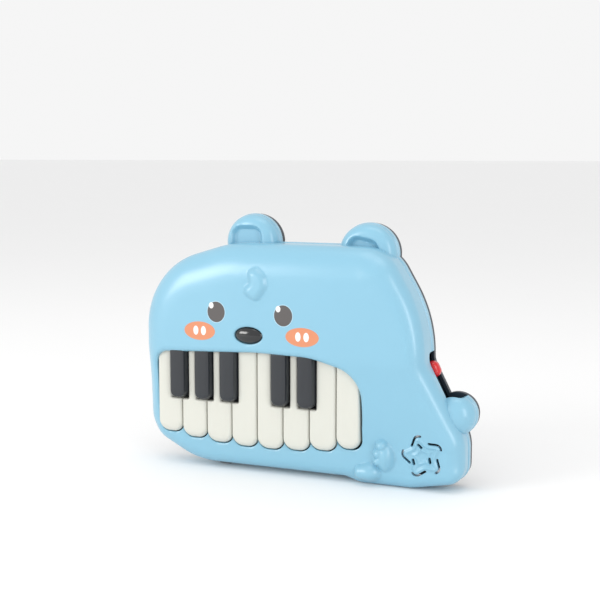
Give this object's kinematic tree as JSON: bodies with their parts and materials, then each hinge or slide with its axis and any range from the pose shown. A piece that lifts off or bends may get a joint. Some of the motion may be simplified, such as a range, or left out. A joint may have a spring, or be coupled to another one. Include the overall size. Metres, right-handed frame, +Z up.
{
  "type": "toy electronic keyboard",
  "caption": "Bear-shaped child's keyboard: domed blue front, white and black piano keys, nose button, star speaker grille, slide power switch and battery back.",
  "frame": {"origin": "centre of the bounding box's footprint, on the surface that it stands on", "axes": "+X to the right seen from the front (tail side), -Y out of the face, +Y out of the flat back, +Z up"},
  "size_m": [0.235, 0.04, 0.175],
  "materials": {
    "blue_plastic": "satin light-blue moulding",
    "navy_plastic": "satin dark navy moulding",
    "white_key_plastic": "satin warm white",
    "black_key_plastic": "charcoal satin tops, glossy sides",
    "nose_plastic": "high-gloss black",
    "red_plastic": "satin red",
    "frame_plastic": "plain inner moulding",
    "steel": "zinc-plated steel",
    "rubber": "moulded rubber",
    "circuit_board": "green solder mask",
    "resin": "black resin",
    "paper_cone": "pressed paper",
    "cell_wrap": "plain printed steel can",
    "wire_insulation": "soft wire insulation"
  },
  "bodies": {
    "housing": {"front_shell": "blue_plastic", "back_shell": "navy_plastic", "key_frame": "frame_plastic", "key_pivot_rod": "steel", "rubber_contact_sheet": "rubber", "key_circuit_board": "circuit_board", "main_circuit_board": "circuit_board", "sound_chip_blob": "resin", "capacitors": "resin", "nose_switch_body": "frame_plastic", "nose_switch_board": "circuit_board", "power_switch_body": "frame_plastic", "speaker_frame": "frame_plastic", "speaker_cone": "paper_cone", "speaker_magnet": "steel", "speaker_clamp": "frame_plastic", "clamp_screws": "steel", "battery_door": "navy_plastic", "battery_door_screw": "steel", "battery_contacts": "steel", "battery_springs": "steel", "battery_cell_1": "cell_wrap", "battery_cell_2": "cell_wrap", "battery_cell_3": "cell_wrap", "battery_lead": "wire_insulation", "speaker_lead": "wire_insulation", "switch_lead": "wire_insulation", "ribbon_cable": "wire_insulation", "housing_screws": "steel", "frame_screws": "steel", "board_screws": "steel", "foot_pad": "rubber"},
    "white_key_1": {"white_key_1": "white_key_plastic"},
    "white_key_2": {"white_key_2": "white_key_plastic"},
    "white_key_3": {"white_key_3": "white_key_plastic"},
    "white_key_4": {"white_key_4": "white_key_plastic"},
    "white_key_5": {"white_key_5": "white_key_plastic"},
    "white_key_6": {"white_key_6": "white_key_plastic"},
    "white_key_7": {"white_key_7": "white_key_plastic"},
    "white_key_8": {"white_key_8": "white_key_plastic"},
    "black_key_1": {"black_key_1": "black_key_plastic"},
    "black_key_2": {"black_key_2": "black_key_plastic"},
    "black_key_3": {"black_key_3": "black_key_plastic"},
    "black_key_4": {"black_key_4": "black_key_plastic"},
    "black_key_5": {"black_key_5": "black_key_plastic"},
    "nose": {"nose_button": "nose_plastic", "nose_switch_plunger": "frame_plastic"},
    "power_switch": {"power_switch_knob": "red_plastic"}
  },
  "joints": [
    {"name": "white_key_1_press", "type": "hinge", "parent": "housing", "child": "white_key_1", "pos_m": [-0.09667, -0.007, 0.089], "axis": [1, 0, 0], "range_deg": [0, 2.6], "stiffness_Nm_per_rad": 0.25, "springref_deg": -3.44, "deforming": ["rubber_contact_sheet"]},
    {"name": "white_key_2_press", "type": "hinge", "parent": "housing", "child": "white_key_2", "pos_m": [-0.07785, -0.007, 0.089], "axis": [1, 0, 0], "range_deg": [0, 2.6], "stiffness_Nm_per_rad": 0.25, "springref_deg": -3.44, "deforming": ["rubber_contact_sheet"]},
    {"name": "white_key_3_press", "type": "hinge", "parent": "housing", "child": "white_key_3", "pos_m": [-0.05885, -0.007, 0.089], "axis": [1, 0, 0], "range_deg": [0, 2.6], "stiffness_Nm_per_rad": 0.25, "springref_deg": -3.44, "deforming": ["rubber_contact_sheet"]},
    {"name": "white_key_4_press", "type": "hinge", "parent": "housing", "child": "white_key_4", "pos_m": [-0.03985, -0.007, 0.089], "axis": [1, 0, 0], "range_deg": [0, 2.6], "stiffness_Nm_per_rad": 0.25, "springref_deg": -3.44, "deforming": ["rubber_contact_sheet"]},
    {"name": "white_key_5_press", "type": "hinge", "parent": "housing", "child": "white_key_5", "pos_m": [-0.02085, -0.007, 0.089], "axis": [1, 0, 0], "range_deg": [0, 2.6], "stiffness_Nm_per_rad": 0.25, "springref_deg": -3.44, "deforming": ["rubber_contact_sheet"]},
    {"name": "white_key_6_press", "type": "hinge", "parent": "housing", "child": "white_key_6", "pos_m": [-0.00185, -0.007, 0.089], "axis": [1, 0, 0], "range_deg": [0, 2.6], "stiffness_Nm_per_rad": 0.25, "springref_deg": -3.44, "deforming": ["rubber_contact_sheet"]},
    {"name": "white_key_7_press", "type": "hinge", "parent": "housing", "child": "white_key_7", "pos_m": [0.01715, -0.007, 0.089], "axis": [1, 0, 0], "range_deg": [0, 2.6], "stiffness_Nm_per_rad": 0.25, "springref_deg": -3.44, "deforming": ["rubber_contact_sheet"]},
    {"name": "white_key_8_press", "type": "hinge", "parent": "housing", "child": "white_key_8", "pos_m": [0.03508, -0.007, 0.089], "axis": [1, 0, 0], "range_deg": [0, 2.6], "stiffness_Nm_per_rad": 0.25, "springref_deg": -3.44, "deforming": ["rubber_contact_sheet"]},
    {"name": "black_key_1_press", "type": "hinge", "parent": "housing", "child": "black_key_1", "pos_m": [-0.08885, -0.007, 0.089], "axis": [1, 0, 0], "range_deg": [0, 3.4], "stiffness_Nm_per_rad": 0.15, "springref_deg": -3.44, "deforming": ["rubber_contact_sheet"]},
    {"name": "black_key_2_press", "type": "hinge", "parent": "housing", "child": "black_key_2", "pos_m": [-0.06985, -0.007, 0.089], "axis": [1, 0, 0], "range_deg": [0, 3.4], "stiffness_Nm_per_rad": 0.15, "springref_deg": -3.44, "deforming": ["rubber_contact_sheet"]},
    {"name": "black_key_3_press", "type": "hinge", "parent": "housing", "child": "black_key_3", "pos_m": [-0.05085, -0.007, 0.089], "axis": [1, 0, 0], "range_deg": [0, 3.4], "stiffness_Nm_per_rad": 0.15, "springref_deg": -3.44, "deforming": ["rubber_contact_sheet"]},
    {"name": "black_key_4_press", "type": "hinge", "parent": "housing", "child": "black_key_4", "pos_m": [-0.01285, -0.007, 0.089], "axis": [1, 0, 0], "range_deg": [0, 3.4], "stiffness_Nm_per_rad": 0.15, "springref_deg": -3.44, "deforming": ["rubber_contact_sheet"]},
    {"name": "black_key_5_press", "type": "hinge", "parent": "housing", "child": "black_key_5", "pos_m": [0.00615, -0.007, 0.089], "axis": [1, 0, 0], "range_deg": [0, 3.4], "stiffness_Nm_per_rad": 0.15, "springref_deg": -3.44, "deforming": ["rubber_contact_sheet"]},
    {"name": "nose_press", "type": "slide", "parent": "housing", "child": "nose", "axis": [0, 1, 0], "range_m": [0, 0.0008], "stiffness_N_per_m": 600, "springref_m": -0.001},
    {"name": "power_switch_slide", "type": "slide", "parent": "housing", "child": "power_switch", "axis": [0.4349, 0, -0.9005], "range_m": [0, 0.006]}
  ]
}
